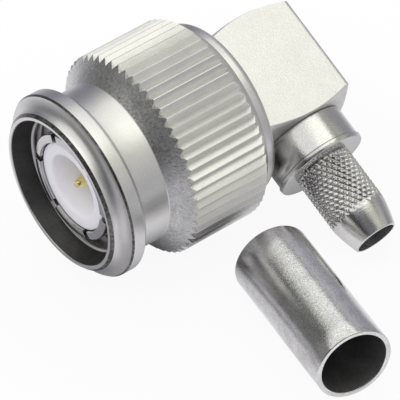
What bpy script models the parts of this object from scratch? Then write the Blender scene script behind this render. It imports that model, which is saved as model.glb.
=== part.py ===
# Right-angle TNC crimp plug for thin coaxial cable, with its crimp ferrule lying beside it.
# The plug lies as it comes to rest: on the knurl of its coupling nut and the tip of its stem.

import math

import bmesh
import bpy

# All sizes are in metres. Stations run back along the nut's axis from the front rim,
# reaches run out along the stem's axis from the nut's axis.

# Coupling nut, outside
rim_radius = 0.00606
rim_edge = 0.00022
cove_radius = 0.00088
flange_station = 0.00110
flange_radius = 0.00706
flange_chamfer = 0.00032
flange_length = 0.00139
collar_radius = 0.00611
collar_end = 0.00500
crest_radius = 0.00772
knurl_station = 0.00636
knurl_length = 0.00600
tooth_count = 60
tooth_depth = 0.00038
rear_chamfer = 0.00086
rear_line_radius = 0.00690
rear_rim_radius = 0.00676
rear_rim_round = 0.00058
nut_length = 0.01420

# Coupling nut, inside
thread_major_radius = 0.00556
thread_minor_radius = 0.00513
mouth_bevel = 0.00015
thread_lead_in = 0.00050
thread_end = 0.00640
chamber_radius = 0.00575
chamber_end = 0.00860
run_clearance = 0.00007
end_play = 0.00015

# Outer contact, a turned sleeve with six sprung fingers, a collar and a neck
contact_station = 0.00080
contact_radius = 0.00410
contact_bore = 0.00343
finger_slots = 3
finger_slot_width = 0.00042
finger_slot_end = 0.00560
finger_slot_turn = math.radians(20)
finger_round = 0.00018
contact_collar_length = 0.00082
neck_radius = 0.00420
ring_station = 0.01038
ring_width = 0.00070
ring_radius = 0.00476
ring_groove_depth = 0.00046
ring_gap = 0.00130
spigot_wall = 0.00070
spigot_length = 0.00230

# Seal, insulators and centre pin
seal_width = 0.00070
seal_radius = 0.00530
seat_gap = 0.00004
insulator_station = 0.00117
bell_radius = 0.00246
bell_depth = 0.00380
bell_floor_radius = 0.00150
pin_station = 0.00150
pin_radius = 0.00067
pin_tip_radius = 0.00032
pin_nose = 0.00165
pin_tail = 0.00090
pin_tail_radius = 0.00050
bush_length = 0.00090

# Square body with both ends turned to a shallow cone
nut_to_body = 0.00015
body_width = 0.00750
body_corner = 0.00036
body_stem_end = 0.00494
body_far_end = 0.00385
body_end_angle = math.radians(21)
body_end_margin = 0.00015
body_wall = 0.00051
cap_wall = 0.00095
cap_shelf = 0.00045
cap_length = 0.00100
cap_edge = 0.00012

# Crimp stem
stub_step = 0.00038
stem_flange_rise = 0.00012
stem_flange_width = 0.00036
stem_flange_reach = 0.00762
tube_radius = 0.00216
taper_reach = 0.01170
tip_radius = 0.00167
tip_edge = 0.00010
tip_reach = 0.01409
stem_bore = 0.00150
stem_shoulder = 0.00087
stem_spigot_length = 0.00140

# Crimp ferrule
ferrule_radius = 0.00285
ferrule_wall = 0.00038
ferrule_length = 0.01219
ferrule_edge = 0.00008
ferrule_reach = 0.02253
ferrule_station = 0.00785
ferrule_turn = math.radians(-11.3)

fine_steps = 2 * tooth_count
round_steps = 40
pin_steps = 20

# Places worked out from the sizes above
body_front = nut_length + nut_to_body
stem_station = body_front + body_width / 2
body_back = body_front + body_width
knurl_end = knurl_station + knurl_length
flange_end = flange_station + flange_length
root_radius = crest_radius - tooth_depth
nut_bore = neck_radius + run_clearance
collar_back = chamber_end - end_play
collar_front = collar_back - contact_collar_length
contact_collar_radius = chamber_radius - end_play
ring_inner = neck_radius - ring_groove_depth
body_bore = body_width / 2 - body_wall
spigot_radius = body_bore - seat_gap
neck_bore = spigot_radius - spigot_wall
spigot_end = body_front + spigot_length
bush_end = spigot_end + bush_length
pin_end = stem_station + pin_tail
body_end_flat = body_width / 2 - body_end_margin
cap_radius = body_width / 2 - cap_wall
chamber_floor = body_back - cap_length - cap_shelf
stub_radius = body_width / 2 - stub_step
stem_flange_radius = stub_radius + stem_flange_rise
stem_spigot_radius = stub_radius - stem_shoulder
stem_inner_reach = body_stem_end - stem_spigot_length
ferrule_bore = ferrule_radius - ferrule_wall

# The plug tips until the stem's tip touches the surface that the nut lies on
tip_corner_reach = tip_reach - tip_edge
droop = (math.asin(crest_radius / math.hypot(tip_corner_reach, tip_radius))
         - math.atan2(tip_radius, tip_corner_reach))

for old in list(bpy.data.objects):
    bpy.data.objects.remove(old, do_unlink=True)

parts = bpy.data.collections.new("tnc_connector")
cutters = bpy.data.collections.new("tnc_connector_cutters")
bpy.context.scene.collection.children.link(parts)
bpy.context.scene.collection.children.link(cutters)


def empty(name, parent=None, location=(0, 0, 0), rotation=(0, 0, 0)):
    holder = bpy.data.objects.new(name, None)
    holder.location = location
    holder.rotation_euler = rotation
    holder.parent = parent
    parts.objects.link(holder)
    return holder


def paint(name, colour, roughness, metallic):
    finish = bpy.data.materials.new(name)
    finish.use_nodes = True
    shader = finish.node_tree.nodes["Principled BSDF"]
    shader.inputs["Base Color"].default_value = (*colour, 1)
    shader.inputs["Roughness"].default_value = roughness
    shader.inputs["Metallic"].default_value = metallic
    return finish


def place(name, mesh, finish, holder, station=0, rotation=(0, 0, 0)):
    piece = bpy.data.objects.new(name, mesh)
    piece.parent = holder
    piece.location = (0, station, 0)
    piece.rotation_euler = rotation
    if finish:
        mesh.materials.append(finish)
        parts.objects.link(piece)
    else:
        piece.hide_render = True
        piece.display_type = "WIRE"
        cutters.objects.link(piece)
    return piece


def turn(name, outline, finish, holder, steps=round_steps, station=0,
         rotation=(math.pi / 2, 0, 0)):
    # An outline of (height, radius) pairs runs down the outer side, then back up the inner
    # side of a ring; one that starts and ends at radius 0 makes a solid round.
    mesh = bpy.data.meshes.new(name)
    points = [(radius, 0, height) for height, radius in outline]
    edges = [(i, i + 1) for i in range(len(points) - 1)]
    if outline[0][1] > 0:
        edges.append((len(points) - 1, 0))
    mesh.from_pydata(points, edges, [])
    piece = place(name, mesh, finish, holder, station, rotation)
    screw = piece.modifiers.new("turn", "SCREW")
    screw.axis = "Z"
    screw.steps = steps
    screw.render_steps = steps
    screw.use_merge_vertices = True
    screw.merge_threshold = 0.000001
    return piece


def from_front(outline):
    # Nut-axis pieces are drawn as (station, radius); the piece's own Z points out of the mouth
    return [(-station, radius) for station, radius in outline]


def arc(centre, radius, start, end, count):
    # Points of a round stretch of an outline, angles in degrees from the station axis
    angles = [math.radians(start + (end - start) * i / count) for i in range(count + 1)]
    return [(centre[0] + radius * math.cos(a), centre[1] + radius * math.sin(a))
            for a in angles]


def cut(piece, cutter, operation="DIFFERENCE"):
    boolean = piece.modifiers.new(cutter.name, "BOOLEAN")
    boolean.object = cutter
    boolean.operation = operation
    boolean.solver = "EXACT"


def box(name, size, finish, holder, location=(0, 0, 0), rotation=(0, 0, 0)):
    mesh = bpy.data.meshes.new(name)
    shape = bmesh.new()
    bmesh.ops.create_cube(shape, size=1)
    bmesh.ops.scale(shape, vec=size, verts=shape.verts)
    shape.to_mesh(mesh)
    shape.free()
    piece = place(name, mesh, finish, holder, 0, rotation)
    piece.location = location
    return piece


def bake(piece):
    # Replaces a piece's mesh by the evaluated one, so that its vertices can be worked on
    bpy.context.view_layer.update()
    seen = piece.evaluated_get(bpy.context.evaluated_depsgraph_get())
    mesh = bpy.data.meshes.new_from_object(seen)
    piece.modifiers.clear()
    piece.data = mesh
    return mesh


def smooth(piece, angle=30):
    piece.data.shade_smooth()
    piece.data.set_sharp_from_angle(angle=math.radians(angle))


nickel = paint("satin_nickel", (0.62, 0.61, 0.58), 0.38, 1.0)
bright_nickel = paint("bright_nickel", (0.70, 0.69, 0.67), 0.25, 1.0)
contact_nickel = paint("contact_nickel", (0.66, 0.66, 0.64), 0.30, 1.0)
gold = paint("gold_plate", (0.83, 0.68, 0.25), 0.22, 1.0)
ptfe = paint("ptfe", (0.83, 0.82, 0.86), 0.45, 0.0)
silicone = paint("silicone", (0.45, 0.14, 0.08), 0.60, 0.0)
spring = paint("spring_bronze", (0.58, 0.50, 0.36), 0.35, 1.0)

# The whole part is centred over the origin and stands on z = 0
ferrule_side = ferrule_radius * math.sin(abs(ferrule_turn))
centre_x = (ferrule_reach + ferrule_side - crest_radius) / 2
root = empty("rest", location=(-centre_x, -body_back / 2, 0))
nut_axis = empty("nut_axis", root, location=(0, 0, crest_radius))
plug = empty("plug", root, location=(0, 0, crest_radius), rotation=(0, droop, 0))

# Coupling nut
cone_slope = (knurl_station - collar_end) / (crest_radius - collar_radius)
chamfer_slope = rear_chamfer / (crest_radius - rear_line_radius)
chamfer_end = knurl_end + rear_chamfer
flange_shoulder = (flange_end - flange_chamfer, flange_radius)
nut_outside = [
    (0, 0),
    (0, rim_radius - rim_edge / 2),
    (rim_edge, rim_radius),
    *arc((flange_station - cove_radius, rim_radius + cove_radius), cove_radius, -90, 0, 4)[1:],
    (flange_station + flange_chamfer, flange_radius),
    flange_shoulder,
    (flange_end, flange_radius - flange_chamfer),
    (flange_end, collar_radius),
    (collar_end, collar_radius),
    (knurl_station - tooth_depth * cone_slope, root_radius),
    (knurl_station, crest_radius),
    (knurl_end, crest_radius),
    (knurl_end + tooth_depth * chamfer_slope, root_radius),
    (chamfer_end, rear_line_radius),
    (chamfer_end, rear_rim_radius),
    *arc((nut_length - rear_rim_round, rear_rim_radius - rear_rim_round),
         rear_rim_round, 90, 0, 3),
    (nut_length, 0),
]
groove_front = ring_station - end_play
groove_back = ring_station + ring_width + end_play
nut_inside = [
    (-mouth_bevel, 0),
    (-mouth_bevel, thread_major_radius + 2 * mouth_bevel),
    (mouth_bevel, thread_major_radius),
    (thread_lead_in + mouth_bevel, thread_minor_radius),
    (thread_end, thread_minor_radius),
    (thread_end + end_play, chamber_radius),
    (chamber_end, chamber_radius),
    (chamber_end, nut_bore),
    (groove_front, nut_bore),
    (groove_front, ring_radius + end_play),
    (groove_back, ring_radius + end_play),
    (groove_back, nut_bore),
    (nut_length - end_play, nut_bore),
    (nut_length + end_play, nut_bore + 2 * end_play),
    (nut_length + end_play, 0),
]
coupling_nut = turn("coupling_nut", from_front(nut_outside), nickel, nut_axis, fine_steps)

# Straight knurl: every other line of the turned blank sinks to the root of a V groove, which
# also runs the teeth out into points on the cone in front and the chamfer behind
for vertex in bake(coupling_nut).vertices:
    radius = math.hypot(vertex.co.x, vertex.co.y)
    line = round(math.atan2(vertex.co.y, vertex.co.x) / (2 * math.pi) * fine_steps)
    if line % 2 and radius > root_radius:
        vertex.co.x *= root_radius / radius
        vertex.co.y *= root_radius / radius
cut(coupling_nut, turn("nut_bore", from_front(nut_inside), None, nut_axis))
smooth(coupling_nut)

# Outer contact
neck_end = nut_length - end_play
outer_contact = turn("outer_contact", from_front([
    *arc((contact_station + finger_round, contact_radius - finger_round),
         finger_round, 180, 90, 3),
    (collar_front, contact_radius),
    (collar_front, contact_collar_radius),
    (collar_back, contact_collar_radius),
    (collar_back, neck_radius),
    (ring_station - seat_gap, neck_radius),
    (ring_station - seat_gap, ring_inner),
    (ring_station + ring_width + seat_gap, ring_inner),
    (ring_station + ring_width + seat_gap, neck_radius),
    (body_front - seat_gap, neck_radius),
    (body_front - seat_gap, spigot_radius),
    (spigot_end, spigot_radius),
    (spigot_end, neck_bore),
    (collar_back, neck_bore),
    (collar_back, contact_bore),
    (contact_station + finger_round, contact_bore),
    (contact_station, contact_bore + finger_round),
]), contact_nickel, plug)
for index in range(finger_slots):
    slot = box(f"finger_slot_{index + 1}",
               (3 * contact_radius, finger_slot_end, finger_slot_width), None, plug,
               location=(0, finger_slot_end / 2, 0),
               rotation=(0, -finger_slot_turn - index * math.pi / finger_slots, 0))
    cut(outer_contact, slot)
smooth(outer_contact)

# Snap ring, an open C in the neck's groove that keeps the nut on
snap_ring = turn("snap_ring", from_front([
    (ring_station, ring_radius),
    (ring_station + ring_width, ring_radius),
    (ring_station + ring_width, ring_inner + seat_gap),
    (ring_station, ring_inner + seat_gap),
]), spring, plug)
ring_opening = box("ring_opening", (2 * ring_radius, 3 * ring_width, ring_gap), None, plug,
                   location=(-ring_radius, ring_station + ring_width / 2, 0))
cut(snap_ring, ring_opening)
smooth(snap_ring)

# Seal against the contact's collar
gasket = turn("gasket", from_front([
    (collar_front - seat_gap - seal_width, seal_radius - seat_gap),
    (collar_front - seat_gap, seal_radius - seat_gap),
    (collar_front - seat_gap, contact_radius + seat_gap),
    (collar_front - seat_gap - seal_width, contact_radius + seat_gap),
]), silicone, plug)
smooth(gasket)

# Front insulator with its bell-shaped recess
bell_lip = contact_bore - seat_gap - bell_radius
bell = [(insulator_station + bell_depth * math.sin(t) ** 2,
         bell_floor_radius + (bell_radius - bell_floor_radius) * math.cos(t))
        for t in (math.radians(90 * i / 6) for i in range(7))]
front_insulator = turn("front_insulator", from_front([
    (insulator_station, contact_bore - seat_gap),
    (collar_back - seat_gap, contact_bore - seat_gap),
    (collar_back - seat_gap, neck_bore - seat_gap),
    (spigot_end, neck_bore - seat_gap),
    (spigot_end, pin_radius + seat_gap),
    (insulator_station + bell_depth, pin_radius + seat_gap),
    *reversed(bell),
    (insulator_station, bell_radius + bell_lip / 3),
]), ptfe, plug)
smooth(front_insulator)

# Centre pin with a long taper at its nose and a thinner tail that the cable is soldered to
center_pin = turn("center_pin", from_front([
    (pin_station, 0),
    (pin_station, pin_tip_radius),
    (pin_station + pin_nose * 0.55, (pin_tip_radius + pin_radius) / 2),
    (pin_station + pin_nose, pin_radius),
    (bush_end - bush_length / 2, pin_radius),
    (bush_end - bush_length / 2, pin_tail_radius),
    (pin_end, pin_tail_radius),
    (pin_end, 0),
]), gold, plug, pin_steps)
smooth(center_pin)

# Rear insulator, a bush behind the contact's spigot
rear_insulator = turn("rear_insulator", from_front([
    (spigot_end + seat_gap, body_bore - seat_gap),
    (bush_end, body_bore - seat_gap),
    (bush_end, pin_tail_radius + seat_gap),
    (bush_end - bush_length / 2 + seat_gap, pin_tail_radius + seat_gap),
    (bush_end - bush_length / 2 + seat_gap, pin_radius + seat_gap),
    (spigot_end + seat_gap, pin_radius + seat_gap),
]), ptfe, plug)
smooth(rear_insulator)

# Square body: a bar with rounded edges, its ends turned, bored through and to the stem
along_stem = (0, math.pi / 2, 0)
body_length = body_stem_end + body_far_end
body_block = box("body_block", (2 * body_length, body_width, body_width), nickel, plug,
                 location=((body_stem_end - body_far_end) / 2, stem_station, 0))
rounding = body_block.modifiers.new("edges", "BEVEL")
rounding.width = body_corner
rounding.segments = 3
blank_radius = body_width * 0.75
end_drop = (blank_radius - body_end_flat) * math.tan(body_end_angle)
end_form = turn("end_form", [
    (body_stem_end, 0),
    (body_stem_end, body_end_flat),
    (body_stem_end - end_drop, blank_radius),
    (-body_far_end + end_drop, blank_radius),
    (-body_far_end, body_end_flat),
    (-body_far_end, 0),
], None, plug, 64, stem_station, along_stem)
cut(body_block, end_form, "INTERSECT")
front_bore = turn("front_bore", from_front([
    (body_front - body_width, 0),
    (body_front - body_width, body_bore),
    (chamber_floor, body_bore),
    (chamber_floor, cap_radius - cap_length / 2),
    (body_back - cap_length - seat_gap, cap_radius - cap_length / 2),
    (body_back - cap_length - seat_gap, cap_radius + seat_gap),
    (body_back + body_width, cap_radius + seat_gap),
    (body_back + body_width, 0),
]), None, plug)
cut(body_block, front_bore)
side_bore = turn("side_bore", [
    (body_stem_end + body_width, 0),
    (body_stem_end + body_width, stem_spigot_radius + seat_gap),
    (0, stem_spigot_radius + seat_gap),
    (0, 0),
], None, plug, round_steps, stem_station, along_stem)
cut(body_block, side_bore)
smooth(body_block)

# Cap pressed in behind the solder joint
rear_cap = turn("rear_cap", from_front([
    (body_back - cap_length, 0),
    (body_back - cap_length, cap_radius - cap_edge),
    (body_back - cap_length + cap_edge, cap_radius),
    (body_back - cap_edge, cap_radius),
    (body_back, cap_radius - cap_edge),
    (body_back, 0),
]), nickel, plug)
smooth(rear_cap)

# Crimp stem: stub, thin flange, tube for the braid and a tapered tip
flange_back = stem_flange_reach - stem_flange_width
stem_foot = body_stem_end + seat_gap
crimp_stem = turn("crimp_stem", [
    (tip_reach, tip_radius - tip_edge),
    (tip_corner_reach, tip_radius),
    (taper_reach, tube_radius),
    (stem_flange_reach, tube_radius),
    (stem_flange_reach, stem_flange_radius - tip_edge),
    (stem_flange_reach - tip_edge, stem_flange_radius),
    (flange_back, stem_flange_radius),
    (flange_back, stub_radius),
    (stem_foot, stub_radius),
    (stem_foot, stem_spigot_radius),
    (stem_inner_reach, stem_spigot_radius),
    (stem_inner_reach, stem_bore),
    (tip_reach, stem_bore),
], bright_nickel, plug, round_steps, stem_station, along_stem)
smooth(crimp_stem)

# Crimp ferrule, a plain tube lying on the same surface
ferrule_rest = empty("ferrule_rest", root, (ferrule_reach, ferrule_station, ferrule_radius),
                     (0, 0, ferrule_turn))
crimp_ferrule = turn("crimp_ferrule", [
    (0, ferrule_radius - ferrule_edge),
    (-ferrule_edge, ferrule_radius),
    (ferrule_edge - ferrule_length, ferrule_radius),
    (-ferrule_length, ferrule_radius - ferrule_edge),
    (-ferrule_length, ferrule_bore + ferrule_edge),
    (ferrule_edge - ferrule_length, ferrule_bore),
    (-ferrule_edge, ferrule_bore),
    (0, ferrule_bore + ferrule_edge),
], bright_nickel, ferrule_rest, round_steps, 0, along_stem)
smooth(crimp_ferrule)
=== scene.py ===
import math

import bmesh
import bpy
from mathutils import Matrix, Vector


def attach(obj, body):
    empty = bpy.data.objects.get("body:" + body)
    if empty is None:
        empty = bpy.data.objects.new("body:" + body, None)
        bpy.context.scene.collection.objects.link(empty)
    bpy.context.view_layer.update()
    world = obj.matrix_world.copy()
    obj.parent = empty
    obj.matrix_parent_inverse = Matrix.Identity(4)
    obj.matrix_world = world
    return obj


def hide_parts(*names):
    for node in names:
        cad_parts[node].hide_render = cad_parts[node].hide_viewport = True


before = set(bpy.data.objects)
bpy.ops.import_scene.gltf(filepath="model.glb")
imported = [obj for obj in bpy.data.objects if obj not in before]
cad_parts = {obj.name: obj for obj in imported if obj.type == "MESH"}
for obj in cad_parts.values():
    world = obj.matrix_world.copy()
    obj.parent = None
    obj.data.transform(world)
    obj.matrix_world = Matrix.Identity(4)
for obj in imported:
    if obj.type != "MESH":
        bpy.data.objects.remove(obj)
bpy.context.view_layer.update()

# A right-angle crimp plug and its loose ferrule on a white table.
# Sizes are in millimetres. Each piece is modelled on its own Z axis, then put in place.

scene = bpy.context.scene
scene.view_settings.view_transform = "Standard"
print("frame loaded,", len(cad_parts), "nodes")

layout = {
    "nutFront": (-7.6842, -10.925, 7.72),     # middle of the nut's front rim
    "droop": 26.418,                          # degrees that the plug tips about the nut's axis
    "stemStation": 18.10,                     # the stem leaves this far behind the rim
    "ferruleFront": (14.8458, -3.075, 2.85),
    "ferruleTurn": -11.3,
}

millimetre = 0.001
fullTurn = 2 * math.pi
weldDistance = 0.0005
sharpAngle = 35              # degrees past which an edge counts as sharp


def turnAbout(axis, degrees):
    return Matrix.Rotation(math.radians(degrees), 4, axis)


# Places: the piece's own Z runs back along the nut's axis, or out along the stem or the ferrule
toMetres = Matrix.Scale(millimetre, 4)
nutPlace = toMetres @ Matrix.Translation(layout["nutFront"]) @ turnAbout("X", -90)
plugPlace = (toMetres @ Matrix.Translation(layout["nutFront"])
             @ turnAbout("Y", layout["droop"]) @ turnAbout("X", -90))
stemPlace = (toMetres @ Matrix.Translation(layout["nutFront"]) @ turnAbout("Y", layout["droop"])
             @ Matrix.Translation((0, layout["stemStation"], 0)) @ turnAbout("Y", 90))
ferrulePlace = (toMetres @ Matrix.Translation(layout["ferruleFront"])
                @ turnAbout("Z", layout["ferruleTurn"]) @ turnAbout("Y", 90))


def steps(start, end, count):
    return [start + (end - start) * i / count for i in range(count + 1)]


def arcPoints(centre, radius, start, end, count):
    # (height, radius) points of a round stretch, angles in degrees from the height axis
    return [(centre[0] + radius * math.cos(math.radians(a)),
             centre[1] + radius * math.sin(math.radians(a))) for a in steps(start, end, count)]


def turnedShape(outline, count, closed=True):
    # Points are (height, radius) or (height, radius, rounding)
    shape = bmesh.new()
    corners = [shape.verts.new((point[1], 0, point[0])) for point in outline]
    for i in range(len(corners) - (0 if closed else 1)):
        shape.edges.new((corners[i], corners[(i + 1) % len(corners)]))
    for corner, point in zip(corners, outline):
        if len(point) > 2:
            bmesh.ops.bevel(shape, geom=[corner], offset=point[2], offset_type="OFFSET",
                            segments=3, profile=0.5, affect="VERTICES", material=-1)
    bmesh.ops.spin(shape, geom=shape.verts[:] + shape.edges[:], cent=(0, 0, 0), axis=(0, 0, 1),
                   angle=fullTurn, steps=count, use_merge=True, use_duplicate=False)
    bmesh.ops.remove_doubles(shape, verts=shape.verts[:], dist=weldDistance)
    bmesh.ops.recalc_face_normals(shape, faces=shape.faces[:])
    return shape


def asObject(name, shape):
    mesh = bpy.data.meshes.new(name)
    shape.to_mesh(mesh)
    shape.free()
    made = bpy.data.objects.new(name, mesh)
    scene.collection.objects.link(made)
    return made


def boxShape(size, centre):
    shape = bmesh.new()
    bmesh.ops.create_cube(shape, size=1)
    bmesh.ops.scale(shape, vec=size, verts=shape.verts)
    bmesh.ops.translate(shape, vec=centre, verts=shape.verts)
    return shape


def baked(piece):
    # The mesh of a helper object with its modifiers applied, and the helper is removed
    bpy.context.view_layer.update()
    seen = piece.evaluated_get(bpy.context.evaluated_depsgraph_get())
    result = bmesh.new()
    result.from_mesh(bpy.data.meshes.new_from_object(seen))
    bpy.data.objects.remove(piece, do_unlink=True)
    return result


def combine(base, cutters, softening=0):
    # Applies Boolean cuts one after another, then softens the sharp edges
    for operation, cutter in cutters:
        body = asObject("blank", base)
        tool = asObject("tool", cutter)
        boolean = body.modifiers.new("cut", "BOOLEAN")
        boolean.object = tool
        boolean.operation = operation
        boolean.solver = "EXACT"
        base = baked(body)
        bpy.data.objects.remove(tool, do_unlink=True)
        bmesh.ops.remove_doubles(base, verts=base.verts[:], dist=weldDistance)
    if softening:
        body = asObject("blank", base)
        edges = body.modifiers.new("edges", "BEVEL")
        edges.width = softening
        edges.segments = 2
        edges.limit_method = "ANGLE"
        edges.angle_limit = math.radians(sharpAngle)
        edges.use_clamp_overlap = True
        base = baked(body)
    return base


def finishPiece(name, shape, place, materials, body, node, sharp=sharpAngle):
    shape.transform(place)
    piece = asObject(name, shape)
    for material in materials:
        piece.data.materials.append(material)
    piece.data.shade_smooth()
    piece.data.set_sharp_from_angle(angle=math.radians(sharp))
    # Flats stay flat and only the roundings between them bend the light
    flats = piece.modifiers.new("flats", "WEIGHTED_NORMAL")
    flats.mode = "FACE_AREA"
    flats.keep_sharp = True
    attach(piece, body)
    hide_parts(node)
    print("made", name, len(piece.data.polygons), "faces")
    return piece


def fromAxis(face):
    return face.calc_center_median().xy.length


def markBore(shape, radius):
    # Faces inside the radius get the piece's second material, the bore's painted shade
    for face in shape.faces:
        face.material_index = 1 if fromAxis(face) < radius + 0.01 else 0


def addNode(tree, kind, inputs=None, **settings):
    made = tree.nodes.new(kind)
    for key, value in settings.items():
        setattr(made, key, value)
    for key, value in (inputs or {}).items():
        if isinstance(value, bpy.types.NodeSocket):
            tree.links.new(value, made.inputs[key])
        else:
            made.inputs[key].default_value = value
    return made


def newGroup(name, inputs, outputs):
    tree = bpy.data.node_groups.new(name, "ShaderNodeTree")
    tree.interface.new_socket("Vector", in_out="INPUT", socket_type="NodeSocketVector")
    for label, value in inputs:
        socket = tree.interface.new_socket(label, in_out="INPUT", socket_type="NodeSocketFloat")
        socket.default_value = value
    for label in outputs:
        tree.interface.new_socket(label, in_out="OUTPUT", socket_type="NodeSocketFloat")
    return tree, tree.nodes.new("NodeGroupInput"), tree.nodes.new("NodeGroupOutput")


def makeToolMarks():
    # Rings that a turning tool leaves: they vary along the axis and outwards, not around it
    tree, given, put = newGroup("toolMarks", [("Lines per mm", 8.0)], ["Rings"])
    flat = addNode(tree, "ShaderNodeVectorMath", {0: given.outputs["Vector"], 1: (1, 1, 0)},
                   operation="MULTIPLY")
    radius = addNode(tree, "ShaderNodeVectorMath", {0: flat.outputs[0]}, operation="LENGTH")
    parts = addNode(tree, "ShaderNodeSeparateXYZ", {0: given.outputs["Vector"]})
    across = addNode(tree, "ShaderNodeCombineXYZ",
                     {"X": radius.outputs["Value"], "Y": parts.outputs["Z"]})
    noise = addNode(tree, "ShaderNodeTexNoise",
                    {"Vector": across.outputs[0], "Scale": given.outputs["Lines per mm"],
                     "Detail": 2.0, "Roughness": 0.6})
    tree.links.new(noise.outputs["Fac"], put.inputs["Rings"])
    return tree


def makeTumbledGrain():
    # Fine grain that plating and tumbling leave, with broad cloudy patches in it
    tree, given, put = newGroup("tumbledGrain", [("Grains per mm", 7.0), ("Patches per mm", 0.6)],
                                ["Grain", "Patches"])
    fine = addNode(tree, "ShaderNodeTexNoise",
                   {"Vector": given.outputs["Vector"], "Scale": given.outputs["Grains per mm"],
                    "Detail": 3.0, "Roughness": 0.62})
    crisp = addNode(tree, "ShaderNodeMapRange",
                    {"Value": fine.outputs["Fac"], "From Min": 0.3, "From Max": 0.7})
    broad = addNode(tree, "ShaderNodeTexNoise",
                    {"Vector": given.outputs["Vector"], "Scale": given.outputs["Patches per mm"],
                     "Detail": 4.0, "Roughness": 0.55, "Distortion": 0.6})
    soft = addNode(tree, "ShaderNodeMapRange",
                   {"Value": broad.outputs["Fac"], "From Min": 0.32, "From Max": 0.68})
    tree.links.new(crisp.outputs["Result"], put.inputs["Grain"])
    tree.links.new(soft.outputs["Result"], put.inputs["Patches"])
    return tree


toolMarks = makeToolMarks()
tumbledGrain = makeTumbledGrain()


def pieceCoordinates(tree, place):
    # Object coordinates taken into the piece's own axes, in millimetres
    where, turned, scale = place.decompose()
    coordinates = addNode(tree, "ShaderNodeTexCoord")
    return addNode(tree, "ShaderNodeMapping",
                   {"Vector": coordinates.outputs["Object"], "Location": where,
                    "Rotation": turned.to_euler(), "Scale": scale},
                   vector_type="TEXTURE").outputs["Vector"]


def surfaceFinish(name, look, place):
    material = bpy.data.materials.new(name)
    material.use_nodes = True
    tree = material.node_tree
    shader = tree.nodes["Principled BSDF"]
    local = pieceCoordinates(tree, place)
    grain = addNode(tree, "ShaderNodeGroup", {}, node_tree=tumbledGrain)
    rings = addNode(tree, "ShaderNodeGroup", {}, node_tree=toolMarks)
    tree.links.new(local, grain.inputs["Vector"])
    tree.links.new(local, rings.inputs["Vector"])
    grain.inputs["Grains per mm"].default_value = look["grains"]
    grain.inputs["Patches per mm"].default_value = look["patches"]
    rings.inputs["Lines per mm"].default_value = look["lines"]

    tint = addNode(tree, "ShaderNodeMix", {"Factor": grain.outputs["Patches"],
                                           "A": (*look["colour"], 1), "B": (*look["stain"], 1)},
                   data_type="RGBA")
    fleck = addNode(tree, "ShaderNodeMapRange",
                    {"Value": grain.outputs["Grain"], "To Min": 1 - look["fleck"], "To Max": 1.0})
    dulled = addNode(tree, "ShaderNodeVectorMath", {0: tint.outputs["Result"],
                                                    "Scale": fleck.outputs["Result"]},
                     operation="SCALE")
    tree.links.new(dulled.outputs[0], shader.inputs["Base Color"])

    blend = addNode(tree, "ShaderNodeMath", {0: grain.outputs["Grain"], 1: rings.outputs["Rings"]},
                    operation="MULTIPLY")
    rough = addNode(tree, "ShaderNodeMapRange",
                    {"Value": blend.outputs[0], "From Max": 0.7,
                     "To Min": look["roughness"][0], "To Max": look["roughness"][1]})
    tree.links.new(rough.outputs["Result"], shader.inputs["Roughness"])

    lined = addNode(tree, "ShaderNodeBump", {"Height": rings.outputs["Rings"],
                                             "Distance": look["lineDepth"] * millimetre})
    pitted = addNode(tree, "ShaderNodeBump", {"Height": grain.outputs["Grain"],
                                              "Distance": look["grainDepth"] * millimetre,
                                              "Normal": lined.outputs["Normal"]})
    tree.links.new(pitted.outputs["Normal"], shader.inputs["Normal"])
    shader.inputs["Metallic"].default_value = look["metallic"]
    return material


satinLook = {"colour": (0.81, 0.805, 0.79), "stain": (0.76, 0.755, 0.75), "fleck": 0.12,
             "roughness": (0.30, 0.42), "metallic": 1.0, "grains": 9.0, "patches": 0.5,
             "lines": 9.0, "grainDepth": 0.0045, "lineDepth": 0.0025}
coneLook = {**satinLook, "fleck": 0.36, "roughness": (0.24, 0.38), "grains": 5.5,
            "grainDepth": 0.011, "patches": 1.6, "stain": (0.62, 0.62, 0.62)}
# Painted dark reflection for the nut's forward chamfers, with grain flecks in it
darkReflectionLook = {**coneLook, "colour": (0.34, 0.34, 0.335), "stain": (0.09, 0.09, 0.09), "fleck": 0.45,
            "patches": 2.6}
blastedLook = {**satinLook, "colour": (0.92, 0.915, 0.90), "stain": (0.89, 0.885, 0.865),
               "fleck": 0.16, "roughness": (0.40, 0.50), "grains": 9.0, "grainDepth": 0.008,
               "lineDepth": 0.0}
brightLook = {"colour": (0.76, 0.755, 0.74), "stain": (0.71, 0.705, 0.70), "fleck": 0.24,
              "roughness": (0.07, 0.15), "metallic": 1.0, "grains": 10.0, "patches": 0.8,
              "lines": 6.0, "grainDepth": 0.0038, "lineDepth": 0.001}
tumbledLook = {**brightLook, "colour": (0.86, 0.855, 0.85), "fleck": 0.44,
               "roughness": (0.11, 0.19), "grains": 10.0, "grainDepth": 0.0028, "lineDepth": 0.0}
contactLook = {**brightLook, "colour": (0.62, 0.615, 0.61), "stain": (0.52, 0.515, 0.51),
               "fleck": 0.12, "lines": 9.0, "roughness": (0.06, 0.13), "grainDepth": 0.002}
# Painted shade: a dark copy of the nickel for the wall inside the nut's mouth
mouthShadeLook = {"colour": (0.105, 0.103, 0.10), "stain": (0.07, 0.069, 0.067), "fleck": 0.20,
             "roughness": (0.38, 0.55), "metallic": 0.7, "grains": 5.0, "patches": 0.7,
             "lines": 6.0, "grainDepth": 0.010, "lineDepth": 0.004}
# A lighter painted shade for the bores of the stem and the ferrule
boreShadeLook = {**mouthShadeLook, "colour": (0.22, 0.215, 0.21), "stain": (0.16, 0.157, 0.153)}
goldLook = {"colour": (1.0, 0.90, 0.42), "stain": (0.95, 0.80, 0.30), "fleck": 0.06,
            "roughness": (0.12, 0.20), "metallic": 1.0, "grains": 9.0, "patches": 1.2,
            "lines": 7.0, "grainDepth": 0.001, "lineDepth": 0.0006}
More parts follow.
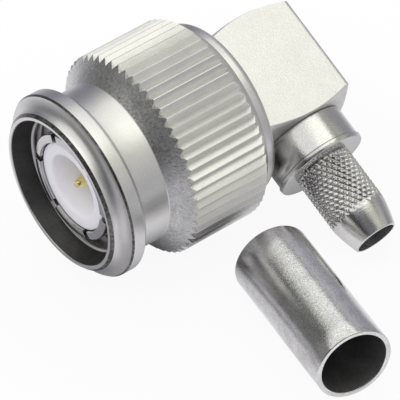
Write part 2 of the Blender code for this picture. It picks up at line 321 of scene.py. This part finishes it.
ptfeLook = {"colour": (0.90, 0.895, 0.92), "stain": (0.87, 0.865, 0.89), "fleck": 0.04,
            "roughness": (0.42, 0.55), "metallic": 0.0, "grains": 5.0, "patches": 0.5,
            "lines": 9.0, "grainDepth": 0.003, "lineDepth": 0.004}
siliconeLook = {"colour": (0.42, 0.12, 0.07), "stain": (0.34, 0.09, 0.05), "fleck": 0.12,
                "roughness": (0.50, 0.68), "metallic": 0.0, "grains": 6.0, "patches": 0.9,
                "lines": 4.0, "grainDepth": 0.006, "lineDepth": 0.002}
bronzeLook = {"colour": (0.55, 0.44, 0.28), "stain": (0.46, 0.35, 0.22), "fleck": 0.15,
              "roughness": (0.28, 0.42), "metallic": 1.0, "grains": 8.0, "patches": 1.0,
              "lines": 9.0, "grainDepth": 0.004, "lineDepth": 0.003}

satinNickel = surfaceFinish("satinNickel", satinLook, nutPlace)
nutMouthShade = surfaceFinish("nutMouthShade", mouthShadeLook, nutPlace)
nutCone = surfaceFinish("nutCone", coneLook, nutPlace)
nutEdgesPaintedDark = surfaceFinish("nutEdgesPaintedDark", darkReflectionLook, nutPlace)
contactNickel = surfaceFinish("contactNickel", contactLook, plugPlace)
whitePtfe = surfaceFinish("whitePtfe", ptfeLook, plugPlace)
goldPlate = surfaceFinish("goldPlate", goldLook, plugPlace)
redSilicone = surfaceFinish("redSilicone", siliconeLook, plugPlace)
springBronze = surfaceFinish("springBronze", bronzeLook, plugPlace)
blastedNickel = surfaceFinish("blastedNickel", blastedLook, stemPlace)
capNickel = surfaceFinish("capNickel", {**satinLook, "lines": 5.0}, plugPlace)
brightNickel = surfaceFinish("brightNickel", brightLook, stemPlace)
# The stem's and the ferrule's bores are painted in shade
stemBore = surfaceFinish("stemBore", boreShadeLook, stemPlace)
tumbledNickel = surfaceFinish("tumbledNickel", tumbledLook, ferrulePlace)
ferruleBoreShade = surfaceFinish("ferruleBoreShade", boreShadeLook, ferrulePlace)
print("materials made")


# Coupling nut
nut = {
    "rim": 6.10, "rimEdge": 0.22, "cove": 0.85, "flangeStart": 1.10, "flange": 7.06,
    "flangeChamfer": 0.15, "flangeBack": 0.32, "flangeEnd": 2.49, "collar": 6.11,
    "collarEnd": 5.00, "crest": 7.72, "knurlStart": 6.36, "knurlEnd": 12.36, "teeth": 60,
    "toothDepth": 0.38, "chamferEnd": 13.22, "rearLine": 6.83, "rearRim": 6.71,
    "rearRound": 0.58, "length": 14.20, "mouth": 5.62, "mouthEnd": 1.50, "leadIn": 1.60,
    "threadMinor": 5.08, "threadDepth": 0.40, "threadStart": 1.70, "threadEnd": 6.40,
    "threadRunIn": 0.5, "threadRunOut": 0.3, "threadPitch": 0.907, "threadSlope": 1.45,
    "threadLand": 0.25, "threadRows": 44, "relief": 5.75, "reliefEnd": 8.60, "neckBore": 4.27,
    "neckChamfer": 0.15, "grooveStart": 10.23, "grooveEnd": 11.23, "groove": 4.91,
}
# One knurl groove as nine columns: place across the tooth and how far it sinks, 0 to 1
toothForm = [(0.03, 0.0), (0.1475, 0.25), (0.265, 0.5), (0.3825, 0.75), (0.5, 1.0),
             (0.6175, 0.75), (0.735, 0.5), (0.8525, 0.25), (0.97, 0.0)]
rootRadius = nut["crest"] - nut["toothDepth"]
nutColumns = nut["teeth"] * len(toothForm)


def nutOutline():
    coneSlope = (nut["knurlStart"] - nut["collarEnd"]) / (nut["crest"] - nut["collar"])
    chamferSlope = (nut["chamferEnd"] - nut["knurlEnd"]) / (nut["crest"] - nut["rearLine"])
    outside = [
        (0, nut["rim"] - nut["rimEdge"]),
        (nut["rimEdge"], nut["rim"]),
        *arcPoints((nut["flangeStart"] - nut["cove"], nut["rim"] + nut["cove"]),
                   nut["cove"], -90, 0, 14),
        (nut["flangeStart"] + nut["flangeChamfer"], nut["flange"]),
        (nut["flangeEnd"] - nut["flangeBack"], nut["flange"], 0.06),
        (nut["flangeEnd"], nut["flange"] - nut["flangeBack"], 0.04),
        (nut["flangeEnd"], nut["collar"], 0.05),
        (nut["collarEnd"], nut["collar"], 0.06),
    ]
    # The teeth run out on the cone in front and the chamfer behind, a row for each column
    coneRows = [(nut["knurlStart"] - (nut["crest"] - r) * coneSlope, r)
                for r in steps(rootRadius, nut["crest"], 4)]
    crestRows = [(z, nut["crest"]) for z in steps(nut["knurlStart"], nut["knurlEnd"], 5)[1:-1]]
    chamferRows = [(nut["knurlEnd"] + (nut["crest"] - r) * chamferSlope, r)
                   for r in steps(nut["crest"], rootRadius, 4)]
    behind = [
        (nut["chamferEnd"], nut["rearLine"], 0.05),
        (nut["chamferEnd"] + 0.02, nut["rearRim"]),
        *arcPoints((nut["length"] - nut["rearRound"], nut["rearRim"] - nut["rearRound"]),
                   nut["rearRound"], 90, 0, 10),
    ]
    threadRows = [(z, nut["threadMinor"])
                  for z in steps(nut["threadStart"], nut["threadEnd"], nut["threadRows"])]
    inside = [
        (nut["length"], nut["neckBore"] + nut["neckChamfer"]),
        (nut["length"] - nut["neckChamfer"], nut["neckBore"]),
        (nut["grooveEnd"], nut["neckBore"]),
        (nut["grooveEnd"], nut["groove"]),
        (nut["grooveStart"], nut["groove"]),
        (nut["grooveStart"], nut["neckBore"]),
        (nut["reliefEnd"], nut["neckBore"]),
        (nut["reliefEnd"], nut["relief"]),
        (nut["threadEnd"] + 0.15, nut["relief"]),
        *reversed(threadRows),
        (nut["leadIn"], nut["threadMinor"] + 0.05),
        (nut["leadIn"] - 0.08, nut["threadMinor"] + 0.20, 0.03),
        (0.18, nut["mouth"] - 0.06),
        (0.02, nut["mouth"], 0.04),
        (0, nut["mouth"] + 0.03),
    ]
    return outside + coneRows + crestRows + chamferRows + behind + inside


def cutNut(shape):
    runOut = set()
    for vertex in shape.verts:
        radius = math.hypot(vertex.co.x, vertex.co.y)
        angle = math.atan2(vertex.co.y, vertex.co.x)
        depth = vertex.co.z
        if radius > rootRadius - 0.001:
            tooth, column = divmod(round(angle / fullTurn * nutColumns), len(toothForm))
            across, sink = toothForm[column]
            angle = (tooth + across) / nut["teeth"] * fullTurn
            floor = nut["crest"] - nut["toothDepth"] * sink
            if abs(radius - floor) < weldDistance:
                runOut.add(vertex)
            radius = min(radius, floor)
        elif abs(radius - nut["threadMinor"]) < 0.001 and depth > nut["threadStart"] - 0.01:
            turn = (depth / nut["threadPitch"] - angle / fullTurn) % 1
            wave = min(1, max(0, nut["threadSlope"] * (1 - abs(2 * turn - 1)) - nut["threadLand"]))
            fade = min(1, (depth - nut["threadStart"]) / nut["threadRunIn"],
                       (nut["threadEnd"] - depth) / nut["threadRunOut"])
            radius += nut["threadDepth"] * wave * max(0, fade)
        vertex.co.x = radius * math.cos(angle)
        vertex.co.y = radius * math.sin(angle)
    # A crisp edge from point to point where each flank meets the cone and the chamfer
    for face in shape.faces[:]:
        ends = [vertex for vertex in face.verts if vertex in runOut]
        if len(ends) == 2 and not any(edge.other_vert(ends[0]) is ends[1]
                                      for edge in ends[0].link_edges):
            bmesh.utils.face_split(face, ends[0], ends[1])


nutShape = turnedShape(nutOutline(), nutColumns)
cutNut(nutShape)
for face in nutShape.faces:
    depth = face.calc_center_median().z
    radius = fromAxis(face)
    # The wall inside the mouth gets the painted shade
    inMouth = radius < nut["mouth"] and 0.06 < depth < nut["mouthEnd"]
    onCone = radius > nut["collar"] - 0.1 and nut["collarEnd"] + 0.03 < depth < nut["knurlStart"]
    # The chamfers of the rim and the flange face forwards and get a painted dark reflection
    onRim = radius > nut["mouth"] + 0.2 and 0.01 < depth < nut["rimEdge"] - 0.01
    onFlange = nut["flangeStart"] + 0.01 < depth < nut["flangeStart"] + nut["flangeChamfer"]
    onPaintedDarkChamfer = face.normal.z < -0.4 and (onRim or onFlange)
    face.material_index = 1 if inMouth else 2 if onCone else 3 if onPaintedDarkChamfer else 0
finishPiece("couplingNut", nutShape, nutPlace, [satinNickel, nutMouthShade, nutCone, nutEdgesPaintedDark],
            "nut", "coupling_nut", 15)


# Outer contact with its six fingers
contact = {
    "front": 0.93, "lean": 0.045, "lip": 0.08, "outer": 4.10, "bore": 3.43,
    "collarStart": 7.63, "collarEnd": 8.45, "collar": 5.60, "neck": 4.20, "neckBore": 2.50,
    "ringStart": 10.34, "ringEnd": 11.12, "ringFloor": 3.74, "neckEnd": 14.31,
    "spigot": 3.20, "spigotEnd": 16.65, "edge": 0.035,
    "slotWidth": 0.52, "slotEnd": 5.60, "slotTurn": 20, "slots": 3,
}


def contactOutline():
    lip = contact["lip"]
    return [
        *arcPoints((contact["front"] + contact["lean"] + lip, contact["outer"] - lip),
                   lip, 180, 90, 6),
        (contact["collarStart"], contact["outer"]),
        (contact["collarStart"], contact["collar"]),
        (contact["collarEnd"], contact["collar"]),
        (contact["collarEnd"], contact["neck"]),
        (contact["ringStart"], contact["neck"]),
        (contact["ringStart"], contact["ringFloor"]),
        (contact["ringEnd"], contact["ringFloor"]),
        (contact["ringEnd"], contact["neck"]),
        (contact["neckEnd"], contact["neck"]),
        (contact["neckEnd"], contact["spigot"]),
        (contact["spigotEnd"], contact["spigot"]),
        (contact["spigotEnd"], contact["neckBore"]),
        (contact["collarEnd"], contact["neckBore"]),
        (contact["collarEnd"], contact["bore"]),
        *reversed(arcPoints((contact["front"] + lip, contact["bore"] + lip), lip, 180, 270, 6)),
    ]


slotTools = []
for i in range(contact["slots"]):
    slotTool = boxShape((3 * contact["outer"], contact["slotWidth"], contact["slotEnd"]),
                        (0, 0, contact["slotEnd"] / 2))
    slotTool.transform(turnAbout("Z", -contact["slotTurn"] - i * 180 / contact["slots"]))
    slotTools.append(("DIFFERENCE", slotTool))
contactShape = combine(turnedShape(contactOutline(), 144), slotTools, contact["edge"])
finishPiece("outerContact", contactShape, plugPlace, [contactNickel],
            "plug", "outer_contact")


# Seal, front insulator and centre pin
seal = {"front": 6.89, "back": 7.59, "outer": 5.26, "inner": 4.14, "round": 0.2}
sealOutline = [(seal[end], seal[side], seal["round"]) for end, side in
               (("front", "outer"), ("back", "outer"), ("back", "inner"), ("front", "inner"))]
finishPiece("sealRing", turnedShape(sealOutline, 96), plugPlace, [redSilicone],
            "plug", "gasket")

insulator = {
    "front": 1.17, "outer": 3.39, "shoulder": 8.41, "neck": 2.46, "back": 16.65,
    "bell": 2.55, "bellDepth": 4.60, "bellFloor": 1.05, "hole": 0.71,
}
bell = [(insulator["front"] + insulator["bellDepth"] * (1 - math.cos(math.pi * u)) / 2,
         insulator["bell"] - (insulator["bell"] - insulator["bellFloor"]) * u ** 0.9)
        for u in steps(0, 1, 28)]
insulatorOutline = [
    (insulator["front"], insulator["outer"], 0.06),
    (insulator["shoulder"], insulator["outer"]),
    (insulator["shoulder"], insulator["neck"]),
    (insulator["back"], insulator["neck"]),
    (insulator["back"], insulator["hole"]),
    (insulator["front"] + insulator["bellDepth"], insulator["hole"]),
    *reversed(bell),
]
finishPiece("frontInsulator", turnedShape(insulatorOutline, 128), plugPlace, [whitePtfe],
            "plug", "front_insulator", 50)

pin = {"tip": 1.50, "tipRadius": 0.26, "noseMiddle": 2.30, "noseBulge": 0.03, "noseEnd": 3.15,
       "radius": 0.67, "shoulder": 17.10, "tail": 0.50, "end": 19.00}
pinOutline = [
    (pin["tip"], 0), (pin["tip"], pin["tipRadius"], 0.05),
    (pin["noseMiddle"], (pin["tipRadius"] + pin["radius"]) / 2 + pin["noseBulge"]),
    (pin["noseEnd"], pin["radius"], 0.2),
    (pin["shoulder"], pin["radius"], 0.05), (pin["shoulder"], pin["tail"]),
    (pin["end"], pin["tail"], 0.05), (pin["end"], 0),
]
finishPiece("centrePin", turnedShape(pinOutline, 64, closed=False), plugPlace, [goldPlate],
            "plug", "center_pin")


# Square body and the cap behind it
block = {
    "width": 7.50, "corner": 0.38, "edge": 0.08, "stemEnd": 4.76, "farEnd": 4.06,
    "endAngle": 21, "farAngle": 23, "endFlat": 3.60, "frontBore": 3.24, "chamberBack": 2.30,
    "chamber": 2.30, "capSeat": 2.84, "capDepth": 1.04, "stemBore": 2.54, "stemDepth": -0.4,
}
blank = boxShape((block["width"], block["width"], block["stemEnd"] + block["farEnd"]),
                 (0, 0, (block["stemEnd"] - block["farEnd"]) / 2))
longEdges = [edge for edge in blank.edges if abs(edge.verts[0].co.z - edge.verts[1].co.z) > 1]
bmesh.ops.bevel(blank, geom=longEdges, offset=block["corner"], offset_type="OFFSET", segments=5,
                profile=0.5, affect="EDGES", material=-1)
wide = block["width"] * 0.75     # past the body's corners
endDrop, farDrop = [(wide - block["endFlat"]) * math.tan(math.radians(block[key]))
                    for key in ("endAngle", "farAngle")]
endForm = turnedShape([
    (block["stemEnd"], 0), (block["stemEnd"], block["endFlat"]),
    (block["stemEnd"] - endDrop, wide), (farDrop - block["farEnd"], wide),
    (-block["farEnd"], block["endFlat"]), (-block["farEnd"], 0)], 160, closed=False)
# Each form is turned a little, so that none of its facets lines up with the body's flats
endForm.transform(turnAbout("Z", 1.1))
# The bores through the body run along the nut's axis, which is the stem's own -Y
half = block["width"] / 2
frontBore = turnedShape([
    (-half * 2, 0), (-half * 2, block["frontBore"]), (block["chamberBack"], block["frontBore"]),
    (block["chamberBack"], block["chamber"]),
    (half - block["capDepth"], block["chamber"]), (half - block["capDepth"], block["capSeat"]),
    (half * 2, block["capSeat"]), (half * 2, 0)], 96, closed=False)
frontBore.transform(turnAbout("X", -90) @ turnAbout("Z", 1.3))
stemSeat = turnedShape([(block["stemEnd"] * 2, 0), (block["stemEnd"] * 2, block["stemBore"]),
                        (block["stemDepth"], block["stemBore"]), (block["stemDepth"], 0)],
                       96, closed=False)
stemSeat.transform(turnAbout("Z", 0.8))
blockShape = combine(blank, [("INTERSECT", endForm), ("DIFFERENCE", frontBore),
                             ("DIFFERENCE", stemSeat)], block["edge"])
finishPiece("bodyBlock", blockShape, stemPlace, [blastedNickel],
            "plug", "body_block", 30)

cap = {"front": 20.85, "back": 21.85, "radius": 2.80, "edge": 0.12,
       "recessRim": 1.6, "recess": 1.5, "recessFloor": 21.82}
capOutline = [(cap["front"], 0), (cap["front"], cap["radius"], cap["edge"]),
              (cap["back"], cap["radius"], cap["edge"]), (cap["back"], cap["recessRim"]),
              (cap["recessFloor"], cap["recess"]), (cap["recessFloor"], 0)]
finishPiece("rearCap", turnedShape(capOutline, 96, closed=False), plugPlace, [capNickel],
            "plug", "rear_cap")


# Crimp stem with its diamond knurl
stem = {
    "foot": 4.80, "stub": 3.37, "lineStart": 7.08, "lineFull": 7.12, "lineDepth": 0.05,
    "flangeStart": 7.18, "flangeEnd": 7.54, "flange": 3.49, "flangeFall": 0.07,
    "tube": 2.18, "root": 2.03, "taperStart": 11.70, "taperCurve": 1.4, "taperRows": 9,
    "tip": 14.09, "tipRadius": 1.66, "bore": 1.50, "spigot": 2.50, "spigotEnd": 3.54,
    "knurlStart": 7.66, "knurlEnd": 12.10, "fadeIn": 0.3, "fadeOut": 0.5, "rows": 66,
    "diamonds": 29, "diamondLength": 0.66, "crossCut": 0.66, "columns": 10,
    "grooveEdge": 0.25, "grooveSlope": 0.6,
}
knurlRows = [(z, stem["tube"]) for z in
             steps(stem["knurlStart"], stem["knurlEnd"], stem["rows"])
             + steps(stem["knurlEnd"] + 0.15, stem["tip"] - 0.12, stem["taperRows"])]
stemOutline = [
    (stem["spigotEnd"], stem["bore"]), (stem["spigotEnd"], stem["spigot"], 0.08),
    (stem["foot"], stem["spigot"]), (stem["foot"], stem["stub"], 0.06),
    (stem["lineStart"], stem["stub"], 0.03), (stem["lineFull"], stem["stub"] - stem["lineDepth"]),
    (stem["flangeStart"], stem["stub"] - stem["lineDepth"]),
    (stem["flangeStart"], stem["flange"], 0.04),
    (stem["flangeEnd"], stem["flange"] - stem["flangeFall"], 0.05),
    (stem["flangeEnd"], stem["root"]),
    *knurlRows,
    # The rounded lip at the tip
    (stem["tip"] - 0.05, stem["tipRadius"] + 0.005),
    (stem["tip"] - 0.015, stem["tipRadius"] - 0.02),
    (stem["tip"], stem["tipRadius"] - 0.06),
    (stem["tip"], stem["bore"], 0.03),
]


def cutDiamonds(shape):
    for vertex in shape.verts:
        radius = math.hypot(vertex.co.x, vertex.co.y)
        height = vertex.co.z
        if abs(radius - stem["tube"]) > 0.001 or height < stem["knurlStart"] - 0.01:
            continue
        angle = math.atan2(vertex.co.y, vertex.co.x)
        around = stem["diamonds"] * angle / fullTurn
        along = height / stem["diamondLength"]
        # One hand of the grooves is cut deeper, so the diamonds stand in slanting rows
        groove = 0
        for side, share in ((1, 1.0), (-1, stem["crossCut"])):
            fromRidge = abs(2 * ((around + side * along) % 1) - 1)
            sink = min(1, max(0, (fromRidge - stem["grooveEdge"]) / stem["grooveSlope"]))
            groove = max(groove, share * sink)
        cutting = max(0, min(1, (height - stem["flangeEnd"]) / stem["fadeIn"],
                             (stem["knurlEnd"] - height) / stem["fadeOut"]))
        top = stem["tube"] - (stem["tube"] - stem["root"]) * cutting * groove
        fall = max(0, (height - stem["taperStart"]) / (stem["tip"] - stem["taperStart"]))
        taper = stem["tube"] - (stem["tube"] - stem["tipRadius"]) * fall ** stem["taperCurve"]
        scale = min(top, taper) / radius
        vertex.co.x *= scale
        vertex.co.y *= scale


stemShape = turnedShape(stemOutline, stem["diamonds"] * stem["columns"])
cutDiamonds(stemShape)
markBore(stemShape, stem["bore"])
finishPiece("crimpStem", stemShape, stemPlace, [brightNickel, stemBore],
            "plug", "crimp_stem")


# Crimp ferrule
ferrule = {"length": 12.19, "outer": 2.85, "bore": 2.47, "edge": 0.10, "rows": 8}
between = steps(0, -ferrule["length"], ferrule["rows"])[1:-1]
ferruleOutline = [
    (0, ferrule["outer"], ferrule["edge"]), (0, ferrule["bore"], ferrule["edge"]),
    *[(z, ferrule["bore"]) for z in between],
    (-ferrule["length"], ferrule["bore"], ferrule["edge"]),
    (-ferrule["length"], ferrule["outer"], ferrule["edge"]),
    *[(z, ferrule["outer"]) for z in reversed(between)],
]
ferruleShape = turnedShape(ferruleOutline, 160)
markBore(ferruleShape, ferrule["bore"])
finishPiece("crimpFerrule", ferruleShape, ferrulePlace, [tumbledNickel, ferruleBoreShade],
            "plug", "crimp_ferrule")

# Pieces inside keep their solid and get a finish
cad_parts["snap_ring"].material_slots[0].material = springBronze
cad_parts["rear_insulator"].material_slots[0].material = whitePtfe


# Table, light and camera
studio = {
    "tableRadius": 0.6,
    "tableColour": (0.60, 0.595, 0.625),
    # How much of the table's own shading the camera sees, and how far out
    "shadowShare": 0.07, "shadowReach": (0.012, 0.035),
    # The table as metal mirrors it, and where it glows white there: place, reach, share
    "mirrorColour": (0.37, 0.365, 0.38),
    "glowColour": (0.99, 0.985, 1.0),
    "tableGlow": [
        ((0.018, -0.008, 0), (0.005, 0.012), 0.58),
        ((0.003, -0.006, 0), (0.003, 0.0085), 0.40),
        ((0.007, 0.006, 0), (0.005, 0.014), 0.50),
        ((-0.020, -0.021, 0), (0.004, 0.011), 0.30),
        ((0.006, 0.001, 0), (0.002, 0.006), 0.16),
        ((-0.032, -0.002, 0), (0.012, 0.024), 0.45),
        ((0.006, -0.023, 0), (0.005, 0.012), 0.30),
        ((0.030, 0.006, 0), (0.008, 0.018), 0.45),
        ((-0.008, 0.020, 0), (0.005, 0.014), 0.25),
        ((0, 0, 0), (0.030, 0.060), 0.045),
    ],
    # Matt surfaces are lit by an even sky. Metal mirrors a dark wall with patches of light
    # added to it: direction, start, full, colour
    "evenSky": (0.80, 0.79, 0.83),
    "wallSky": (0.02, 0.02, 0.03),
    "patches": [
        ((0.853, 0.492, 0.174), 0.70, 0.95, (0.49, 0.49, 0.48)),
        ((0.406, 0.579, 0.707), 0.75, 0.95, (0.175, 0.175, 0.13)),
        ((-0.163, 0.925, 0.342), 0.70, 0.95, (0.36, 0.36, 0.37)),
        ((-0.837, 0.483, 0.259), 0.70, 0.95, (0.125, 0.12, 0.175)),
        ((-0.557, 0.321, 0.766), 0.75, 0.95, (0.21, 0.215, 0.17)),
        ((-0.837, -0.483, 0.259), 0.70, 0.95, (0.17, 0.17, 0.16)),
        ((-0.170, -0.963, 0.208), 0.70, 0.95, (0.17, 0.17, 0.16)),
        ((0.791, -0.212, 0.574), 0.75, 0.95, (0.19, 0.19, 0.195)),
        ((0.324, 0.272, 0.906), 0.85, 0.97, (0.40, 0.40, 0.33)),
    ],
    "lampMiddle": (-0.0425, -0.055, 0.30),
    "lampSize": (0.44, 0.56),
    "lampColour": (1.0, 1.0, 0.97),
    "lampPower": 0.76,
}
view = {
    "azimuth": 54.01, "elevation": 41.82, "roll": 3.275,
    "position": (160.0232, -120.6369, 185.4865), "lens": 346.43, "sensor": 36,
}


def fadeOut(tree, distance, reach, share):
    # The share close in, falling to nothing over the reach
    return addNode(tree, "ShaderNodeMapRange",
                   {"Value": distance, "From Min": reach[0], "From Max": reach[1],
                    "To Min": share, "To Max": 0.0},
                   interpolation_type="SMOOTHSTEP").outputs["Result"]


def makeTable():
    shape = bmesh.new()
    bmesh.ops.create_circle(shape, cap_ends=True, radius=studio["tableRadius"], segments=96)
    table = asObject("tableTop", shape)
    material = bpy.data.materials.new("whiteTable")
    material.use_nodes = True
    tree = material.node_tree
    tree.nodes.clear()
    out = addNode(tree, "ShaderNodeOutputMaterial")
    place = addNode(tree, "ShaderNodeTexCoord").outputs["Object"]
    grain = addNode(tree, "ShaderNodeTexNoise", {"Vector": place, "Scale": 900.0, "Detail": 2.0})
    shade = addNode(tree, "ShaderNodeMapRange",
                    {"Value": grain.outputs["Fac"], "To Min": 0.98, "To Max": 1.02})
    colour = addNode(tree, "ShaderNodeVectorMath",
                     {0: studio["tableColour"], "Scale": shade.outputs["Result"]},
                     operation="SCALE")
    matte = addNode(tree, "ShaderNodeBsdfDiffuse", {"Color": colour.outputs[0]})
    paths = addNode(tree, "ShaderNodeLightPath")
    white = addNode(tree, "ShaderNodeEmission", {"Color": (1, 1, 1, 1), "Strength": 1.0})
    # Shadows fade out a little way from the object
    middle = addNode(tree, "ShaderNodeVectorMath", {0: place}, operation="LENGTH").outputs["Value"]
    near = fadeOut(tree, middle, studio["shadowReach"], studio["shadowShare"])
    seen = addNode(tree, "ShaderNodeMixShader",
                   {0: near, 1: white.outputs[0], 2: matte.outputs[0]})
    glow = 0.0
    for spot, reach, share in studio["tableGlow"]:
        away = addNode(tree, "ShaderNodeVectorMath", {0: place, 1: spot}, operation="DISTANCE")
        glow = addNode(tree, "ShaderNodeMath",
                       {0: glow, 1: fadeOut(tree, away.outputs["Value"], reach, share)},
                       operation="ADD").outputs[0]
    lit = addNode(tree, "ShaderNodeEmission",
                  {"Color": (*studio["glowColour"], 1), "Strength": glow})
    dull = addNode(tree, "ShaderNodeBsdfDiffuse", {"Color": (*studio["mirrorColour"], 1)})
    mirrored = addNode(tree, "ShaderNodeAddShader", {0: dull.outputs[0], 1: lit.outputs[0]})
    gloss = addNode(tree, "ShaderNodeMath", {0: paths.outputs["Is Glossy Ray"],
                                             1: paths.outputs["Is Transmission Ray"]},
                    operation="MAXIMUM")
    first = addNode(tree, "ShaderNodeMixShader",
                    {0: gloss.outputs[0], 1: matte.outputs[0], 2: mirrored.outputs[0]})
    last = addNode(tree, "ShaderNodeMixShader",
                   {0: paths.outputs["Is Camera Ray"], 1: first.outputs[0], 2: seen.outputs[0]})
    tree.links.new(last.outputs[0], out.inputs["Surface"])
    table.data.materials.append(material)


def skyPatch(tree, direction, middle, start, full):
    # 0 to 1 as a direction comes close to the middle of a patch of sky
    towards = addNode(tree, "ShaderNodeVectorMath",
                      {0: direction, 1: Vector(middle).normalized()}, operation="DOT_PRODUCT")
    return addNode(tree, "ShaderNodeMapRange",
                   {"Value": towards.outputs["Value"], "From Min": start, "From Max": full},
                   interpolation_type="SMOOTHSTEP").outputs["Result"]


def skyMix(tree, factor, first, second, blend="MIX"):
    first, second = [(*c, 1) if isinstance(c, tuple) else c for c in (first, second)]
    return addNode(tree, "ShaderNodeMix", {"Factor": factor, "A": first, "B": second},
                   data_type="RGBA", blend_type=blend).outputs["Result"]


def makeSky():
    world = bpy.data.worlds.new("studioSky")
    scene.world = world
    world.use_nodes = True
    tree = world.node_tree
    tree.nodes.clear()
    out = addNode(tree, "ShaderNodeOutputWorld")
    direction = addNode(tree, "ShaderNodeTexCoord").outputs["Generated"]
    sky = studio["wallSky"]
    for middle, start, full, colour in studio["patches"]:
        sky = skyMix(tree, skyPatch(tree, direction, middle, start, full), sky, colour, "ADD")
    paths = addNode(tree, "ShaderNodeLightPath")
    sky = skyMix(tree, paths.outputs["Is Diffuse Ray"], sky, studio["evenSky"])
    shown = addNode(tree, "ShaderNodeBackground", {"Color": (1, 1, 1, 1), "Strength": 1.0})
    lights = addNode(tree, "ShaderNodeBackground", {"Color": sky, "Strength": 1.0})
    mixed = addNode(tree, "ShaderNodeMixShader", {0: paths.outputs["Is Camera Ray"],
                                                  1: lights.outputs[0], 2: shown.outputs[0]})
    tree.links.new(mixed.outputs[0], out.inputs["Surface"])


def makeLamp():
    lamp = bpy.data.lights.new("overheadSoftbox", "AREA")
    lamp.shape = "RECTANGLE"
    lamp.size, lamp.size_y = studio["lampSize"]
    lamp.color = studio["lampColour"]
    lamp.energy = studio["lampPower"]
    holder = bpy.data.objects.new("overheadSoftbox", lamp)
    holder.location = studio["lampMiddle"]
    scene.collection.objects.link(holder)


def makeCamera():
    azimuth, elevation, roll = [math.radians(view[key])
                                for key in ("azimuth", "elevation", "roll")]
    ahead = Vector((-math.sin(azimuth) * math.cos(elevation),
                    math.cos(azimuth) * math.cos(elevation), -math.sin(elevation)))
    level = Vector((math.cos(azimuth), math.sin(azimuth), 0))
    down = ahead.cross(level)
    right = math.cos(roll) * level + math.sin(roll) * down
    above = ahead.cross(right) * -1
    lens = bpy.data.cameras.new("photoCamera")
    lens.lens = view["lens"]
    lens.sensor_width = view["sensor"]
    lens.clip_start = 0.01
    lens.clip_end = 5
    camera = bpy.data.objects.new("photoCamera", lens)
    camera.matrix_world = Matrix((
        (right.x, above.x, -ahead.x, view["position"][0] * millimetre),
        (right.y, above.y, -ahead.y, view["position"][1] * millimetre),
        (right.z, above.z, -ahead.z, view["position"][2] * millimetre),
        (0, 0, 0, 1)))
    scene.collection.objects.link(camera)
    scene.camera = camera


makeTable()
makeSky()
makeLamp()
makeCamera()
print("studio made")
